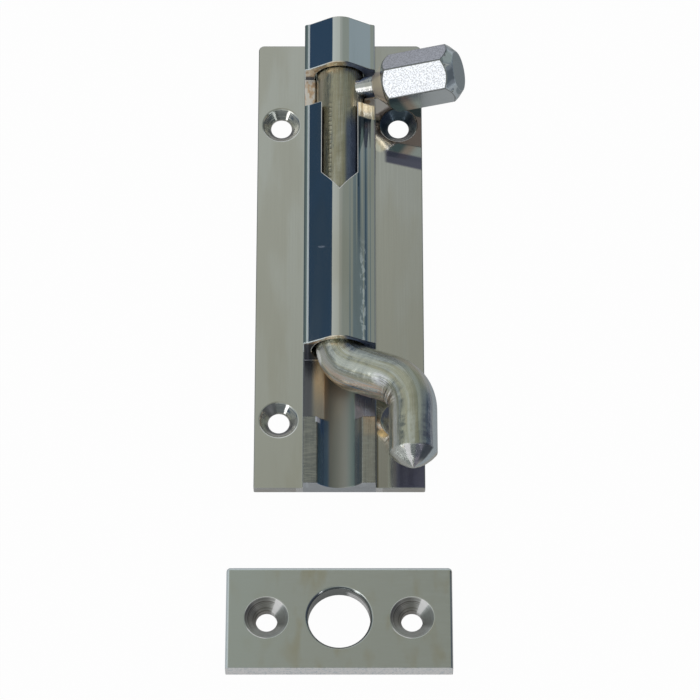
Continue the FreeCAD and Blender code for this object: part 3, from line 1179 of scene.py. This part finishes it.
@dataclass
class PackedSolid:
    """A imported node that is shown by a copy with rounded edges."""

    node: str
    body: Rides
    slot: str
    edge_width: float
    cuts: tuple[float, ...]
    finish: Plating

    def build(self) -> bpy.types.Object:
        """Make and dress the copy that stands for the node.

        Returns:
            The new piece.
        """
        shape = self.merged_copy()
        round_edges(shape, self.edge_width)
        piece = smoothed_piece(shape, f"{self.node}_eased")
        dress(piece, self.body, self.slot, self.finish, self.node)
        return piece

    def merged_copy(self) -> bmesh.types.BMesh:
        """Merge a copy of the node's triangles into large flat faces.

        The faces keep the edges where planes through the holes cut them, so that no
        face surrounds a hole.

        Returns:
            The merged mesh.
        """
        shape = bmesh.new()
        shape.from_mesh(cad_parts[self.node].data)
        bmesh.ops.remove_doubles(shape, verts=shape.verts, dist=WELD)
        for cut in self.cuts:
            bmesh.ops.bisect_plane(
                shape,
                geom=shape.verts[:] + shape.edges[:] + shape.faces[:],
                dist=WELD,
                plane_co=(cut, 0.0, 0.0),
                plane_no=(1.0, 0.0, 0.0),
            )
        bmesh.ops.dissolve_edges(
            shape,
            edges=[edge for edge in shape.edges if self.is_spare(edge)],
            use_verts=False,
            use_face_split=False,
        )
        lone = [vert for vert in shape.verts if self.is_spare_point(vert)]
        bmesh.ops.dissolve_verts(shape, verts=lone, use_face_split=False)
        return shape

    def is_spare(self, edge: bmesh.types.BMEdge) -> bool:
        """Whether an edge only divides a flat face and lies in none of the cuts.

        Args:
            edge: The edge.

        Returns:
            True where it can go.
        """
        if not edge.is_manifold or edge.calc_face_angle(0.0) > LEVEL_WITHIN:
            return False
        ends = [vert.co.x for vert in edge.verts]
        return not any(all(abs(x - cut) < 2 * WELD for x in ends) for cut in self.cuts)

    @staticmethod
    def is_spare_point(vert: bmesh.types.BMVert) -> bool:
        """Whether a point only divides a straight edge.

        Args:
            vert: The point.

        Returns:
            True where it can go.
        """
        if len(vert.link_edges) != 2:
            return False
        first, second = (edge.other_vert(vert).co - vert.co for edge in vert.link_edges)
        return abs(first.angle(second) - math.pi) < LEVEL_WITHIN


def dress(
    piece: bpy.types.Object, body: Rides, slot: str, finish: Plating, node: str
) -> None:
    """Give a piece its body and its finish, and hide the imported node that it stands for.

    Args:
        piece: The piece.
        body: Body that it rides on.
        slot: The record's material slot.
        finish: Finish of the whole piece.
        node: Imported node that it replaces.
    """
    piece.data.materials.append(finish.material(slot))
    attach(piece, body.value)
    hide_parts(node)


@dataclass
class NeckedBar:
    """Round bar, turned straight and then bent twice to make the neck."""

    radius: float = 4.9 * MM
    top: float = 51.4 * MM
    chamfer: float = 0.5 * MM
    tip_length: float = 3.3 * MM
    tip_bulge: float = 0.45 * MM
    bend_start: float = -22.05 * MM
    bend_angle: float = math.radians(64.5)
    upper_radius: float = 7.0 * MM
    lower_radius: float = 9.0 * MM
    offset: float = 15.93 * MM
    end_length: float = 9.3 * MM
    axis_height: float = 7.6 * MM
    lean: float = KNOB_LEAN
    edge_width: float = 0.12 * MM
    tip_steps: int = 5
    steps_round: int = 72
    steps_along: int = 260
    fold_depth: float = 0.11 * MM
    fold_pitch: float = 1.6 * MM
    folds: tuple[float, float] = (-47.5 * MM, -38.0 * MM)
    finish: HandPolishedBar = HandPolishedBar()

    def build(self) -> bpy.types.Object:
        """Make and dress the bar.

        Returns:
            The new piece.
        """
        shape = self.turned_bar()
        self.bend(shape)
        lift = Matrix.Translation((0.0, 0.0, self.axis_height))
        bmesh.ops.transform(
            shape, matrix=lift @ Matrix.Rotation(-self.lean, 4, "Y"), verts=shape.verts
        )
        piece = smoothed_piece(shape, "necked_bar")
        dress(piece, Rides.BOLT, "rod_plating", self.finish, "bolt_rod")
        return piece

    def runs(self) -> list[tuple[float, float]]:
        """Work out the bar's runs past the first bend's start.

        Returns:
            The length of each run and the angle by which it turns.
        """
        turn = self.bend_angle
        both = self.upper_radius + self.lower_radius
        slant = (self.offset - both * (1 - math.cos(turn))) / math.sin(turn)
        return [
            (self.upper_radius * turn, turn),
            (slant, 0.0),
            (self.lower_radius * turn, -turn),
            (self.end_length, 0.0),
        ]

    def turned_bar(self) -> bmesh.types.BMesh:
        """Turn the straight bar, with a chamfer at its top and a blunt tip.

        Returns:
            The bar round the y axis.
        """
        end = self.bend_start - sum(length for length, _ in self.runs())
        end_face = self.top + self.chamfer
        outline = [(0.0, end_face), (self.radius - self.chamfer, end_face)]
        outline += [(self.radius, self.top), (self.radius, end)]
        for step in range(1, self.tip_steps + 1):
            outline.append(self.on_tip(step / self.tip_steps, end))
        shape = bmesh.new()
        points = [shape.verts.new((x, y, 0.0)) for x, y in outline]
        edges = [shape.edges.new(pair) for pair in zip(points, points[1:])]
        bmesh.ops.subdivide_edges(shape, edges=[edges[2]], cuts=self.steps_along)
        bmesh.ops.spin(
            shape,
            geom=shape.verts[:] + shape.edges[:],
            cent=(0.0, 0.0, 0.0),
            axis=(0.0, 1.0, 0.0),
            dvec=(0.0, 0.0, 0.0),
            angle=math.tau,
            steps=self.steps_round,
            use_merge=True,
        )
        bmesh.ops.remove_doubles(shape, verts=shape.verts, dist=WELD)
        bmesh.ops.recalc_face_normals(shape, faces=shape.faces)
        round_edges(shape, self.edge_width)
        return shape

    def on_tip(self, share: float, end: float) -> tuple[float, float]:
        """Point on the tip's outline, which bulges a little past a plain cone.

        Args:
            share: 0 at the rim and 1 at the point.
            end: Place of the rim along the bar.

        Returns:
            Distance from the axis and place along the bar.
        """
        slope = math.hypot(self.radius, self.tip_length)
        bulge = self.tip_bulge * 4 * share * (1 - share)
        across = self.radius * (1 - share) + bulge * self.tip_length / slope
        along = -self.tip_length * share - bulge * self.radius / slope
        return across, end + along

    def bend(self, shape: bmesh.types.BMesh) -> None:
        """Bend the straight bar, and keep each point's straight place for the finish.

        Args:
            shape: The bar round the y axis.
        """
        straight = shape.verts.layers.float_vector.new(self.finish.attribute)
        for vert in shape.verts:
            vert[straight] = vert.co
            vert.co = self.bent(self.pinched(vert.co))

    def pinched(self, place: Vector) -> Vector:
        """Sink a point into the fine folds that bending left inside the lower bend.

        Args:
            place: The point on the straight bar.

        Returns:
            The point, moved towards the axis where a fold is.
        """
        first, last = self.folds
        share = (place.y - first) / (last - first)
        inside = max(-place.x / self.radius, 0.0) ** 2
        if not 0.0 < share < 1.0 or inside == 0.0:
            return place
        fade = math.sin(math.pi * share)
        wave = 0.5 - 0.5 * math.cos(math.tau * (place.y - first) / self.fold_pitch)
        sunk = 1 - self.fold_depth * wave * fade * inside / self.radius
        return Vector((place.x * sunk, place.y, place.z * sunk))

    def bent(self, place: Vector) -> Vector:
        """Where a point of the straight bar comes to lie.

        Args:
            place: The point on the straight bar.

        Returns:
            The point on the bent bar.
        """
        past = max(self.bend_start - place.y, 0.0)
        middle = Vector((0.0, max(self.bend_start, place.y), 0.0))
        angle = 0.0
        for length, turn in self.runs():
            part = min(past, length)
            half = turn * part / length / 2
            chord = part * math.sin(half) / half if half else part
            angle += half
            middle += Vector((math.sin(angle), -math.cos(angle), 0.0)) * chord
            angle += half
            past -= part
        middle.y -= past
        across = Vector((math.cos(angle), math.sin(angle), 0.0)) * place.x
        return middle + across + Vector((0.0, 0.0, place.z))


@dataclass
class SoftBox:
    """Square lamp with an even face, aimed at the object."""

    name: str
    heading: tuple[float, float, float]
    size: tuple[float, float]
    brightness: float
    distance: float = 1.1

    def hang(self, target: Vector) -> None:
        """Hang the lamp.

        Args:
            target: Point that the lamp faces.
        """
        data = bpy.data.lights.new(self.name, "AREA")
        data.shape = "RECTANGLE"
        data.size, data.size_y = self.size
        data.energy = self.brightness * math.pi * self.size[0] * self.size[1]
        box = bpy.data.objects.new(self.name, data)
        away = Vector(self.heading).normalized()
        box.location = target + away * self.distance
        box.rotation_euler = away.to_track_quat("Z", "Y").to_euler()
        bpy.context.scene.collection.objects.link(box)


@dataclass
class Studio:
    """White table, soft lights and the camera, none of them part of the object."""

    table_radius: float = 0.18
    shadow: float = 0.02
    white_in_gloss: float = 0.12
    grey: Colour = (0.5, 0.5, 0.5)
    horizon: tuple[tuple[float, Colour], ...] = (
        (0.0, (0.16, 0.18, 0.20)),
        (0.35, (0.30, 0.34, 0.36)),
        (0.5, (0.56, 0.60, 0.58)),
        (0.8, (0.49, 0.52, 0.49)),
        (0.885, (0.46, 0.49, 0.45)),
        (0.918, (0.37, 0.385, 0.33)),
        (1.0, (0.36, 0.37, 0.32)),
    )
    dark_corner: Colour = (0.030, 0.062, 0.11)
    floor_light: Colour = (0.52, 0.54, 0.58)
    window: Colour = (1.8, 1.85, 1.9)
    tilt: float = math.radians(25.6)
    distance: float = 0.7356
    lens: float = 182.62
    target: tuple[float, float, float] = (2.16 * MM, -20.87 * MM, 2.3 * MM)
    lamps: tuple[SoftBox, ...] = (
        SoftBox("soft_box_key", (-0.59, -0.38, 0.71), (0.45, 0.45), 1.0),
        SoftBox("soft_box_left", (-0.64, -0.669, 0.379), (0.24, 0.40), 2.0),
        SoftBox("soft_box_right", (0.64, -0.669, 0.379), (0.12, 0.34), 1.8),
    )

    def build(self) -> None:
        """Make the camera, the table, the lights and the world."""
        self.make_camera()
        self.make_table()
        self.make_world()
        for lamp in self.lamps:
            lamp.hang(Vector(self.target))

    def make_camera(self) -> None:
        """Look down at the object from its lower end, as the photograph does."""
        data = bpy.data.cameras.new("camera")
        data.lens = self.lens
        data.clip_start = 0.01
        camera = bpy.data.objects.new("camera", data)
        away = Vector((0.0, -math.sin(self.tilt), math.cos(self.tilt)))
        camera.location = Vector(self.target) + away * self.distance
        camera.rotation_euler = (self.tilt, 0.0, 0.0)
        bpy.context.scene.collection.objects.link(camera)
        bpy.context.scene.camera = camera

    def make_table(self) -> None:
        """Lay a pale round table top that keeps a faint shadow."""
        mesh = bpy.data.meshes.new("table_top")
        shape = bmesh.new()
        bmesh.ops.create_circle(shape, cap_ends=True, radius=self.table_radius, segments=64)
        shape.to_mesh(mesh)
        shape.free()
        top = bpy.data.objects.new("table_top", mesh)
        top.location = (self.target[0], self.target[1], -0.05 * MM)
        bpy.context.scene.collection.objects.link(top)

        made = bpy.data.materials.new("table_white")
        made.use_nodes = True
        graph = Graph(made.node_tree)
        x, y, _ = graph.parts(graph.millimetres())
        from_middle = (x ** 2.0 + y ** 2.0) ** 0.5 * MM
        towards_rim = from_middle.step(0.6 * self.table_radius, self.table_radius)
        plain = 1 - self.shadow + towards_rim * self.shadow
        share = self.shown_white(graph, self.white_in_gloss) * plain
        paint = graph.add("ShaderNodeBsdfDiffuse", None, {"Color": (*self.grey, 1.0)})
        glow = graph.add("ShaderNodeEmission", None, {"Color": (*WHITE, 1.0), "Strength": 1.0})
        mixed = graph.add("ShaderNodeMixShader", None, {0: share, 1: paint, 2: glow})
        graph.output("ShaderNodeOutputMaterial", mixed)
        mesh.materials.append(made)

    @staticmethod
    def shown_white(graph: Graph, in_gloss: float) -> Signal:
        """How white the background is to the camera, gloss and glass.

        Args:
            graph: Graph of the background.
            in_gloss: Whiteness of what glossy metal reflects, where the camera sees 1.

        Returns:
            The share of plain white.
        """
        paths = graph.node("ShaderNodeLightPath")
        camera, gloss, glass = (
            Signal(graph, paths.outputs[f"Is {kind} Ray"])
            for kind in ("Camera", "Glossy", "Transmission")
        )
        return camera.highest(gloss * in_gloss).highest(glass)

    def make_world(self) -> None:
        """Fill the room: white to the camera, a grey studio to the metal."""
        world = bpy.data.worlds.new("room")
        bpy.context.scene.world = world
        world.use_nodes = True
        graph = Graph(world.node_tree)
        heading = graph.add("ShaderNodeTexCoord", output="Generated")
        gloss = Signal(graph, graph.node("ShaderNodeLightPath").outputs["Is Glossy Ray"])
        plain = graph.mix(self.grey, self.reflected_room(graph, heading), gloss)
        colour = graph.mix(plain, WHITE, self.shown_white(graph, 0.0))
        shine = graph.add("ShaderNodeBackground", None, {"Color": colour, "Strength": 1.0})
        graph.output("ShaderNodeOutputWorld", shine)

    def reflected_room(self, graph: Graph, heading: Signal) -> Signal:
        """Room that the metal reflects: walls, dark corners and a bright window.

        Args:
            graph: Graph of the world.
            heading: Direction from the object.

        Returns:
            The room's colour in that direction.
        """
        across, back, up = graph.parts(heading)
        walls = graph.add("ShaderNodeValToRGB", {"stops": list(self.horizon)}, {0: up})
        right_half = graph.scaled(walls, (0.78, 0.78, 0.78))
        low_front = back.step(-0.45, -0.7) * up.step(0.75, 0.5)
        low_left = across.step(-0.50, -0.60) * up.between(0.0, 0.38, 0.03)
        ridge_side = up.between(0.38, 0.59, 0.03) * back.step(0.39, 0.42)
        on_left = across.step(-0.54, -0.58) * up.between(0.30, 0.38, 0.03).highest(ridge_side)
        on_right = across.step(0.80, 0.85) * up.between(-0.02, 0.32, 0.03)
        far_right = across.step(0.70, 0.76) * back.step(0.47, 0.50) * up.between(0.34, 0.6, 0.02)
        low_right = across.step(0.50, 0.62) * back.step(0.41, 0.38) * up.step(-0.06, -0.02)
        ahead = back.step(-0.80, -0.88) * up.between(-0.08, 0.13, 0.03)
        return graph.layered(
            walls,
            (
                (right_half, across.step(-0.02, 0.02)),
                ((0.27, 0.30, 0.27), across.step(0.05, 0.35)),
                ((0.15, 0.20, 0.22), across.step(0.76, 0.80)),
                ((0.15, 0.17, 0.18), low_front),
                ((0.26, 0.28, 0.27), low_left),
                (self.dark_corner, on_left.highest(on_right)),
                ((0.29, 0.35, 0.38), far_right),
                ((0.06, 0.07, 0.10), low_right),
                (self.floor_light, up.step(-0.01, -0.04)),
                ((0.06, 0.08, 0.11), ahead * across.step(-0.06, 0.0)),
                (self.window, ahead * across.between(-0.45, -0.08, 0.04)),
            ),
        )


def main() -> None:
    """Build and dress every sub-assembly and the studio, and log each piece's face count."""
    logging.basicConfig(level=logging.INFO, format="%(message)s")
    bpy.context.scene.view_settings.view_transform = "Standard"
    plate, keep = PolishedPlate(), SatinKeep()
    at_screws = (-plate.screw_x * MM, plate.screw_x * MM)
    at_holes = (-keep.screw_x * MM, 0.0, keep.screw_x * MM)
    makers = (
        PackedSolid("barrel_plate", Rides.PLATES, "body_plating", 0.2 * MM, at_screws, plate),
        NeckedBar(),
        PackedSolid("knob", Rides.BOLT, "knob_plating", 0.25 * MM, (), GrainedGrip()),
        PackedSolid("keep_plate", Rides.PLATES, "keep_plating", 0.15 * MM, at_holes, keep),
    )
    for maker in makers:
        piece = maker.build()
        LOG.info("%s: %d faces", piece.name, len(piece.data.polygons))
    Studio().build()


if __name__ == "__main__":
    main()
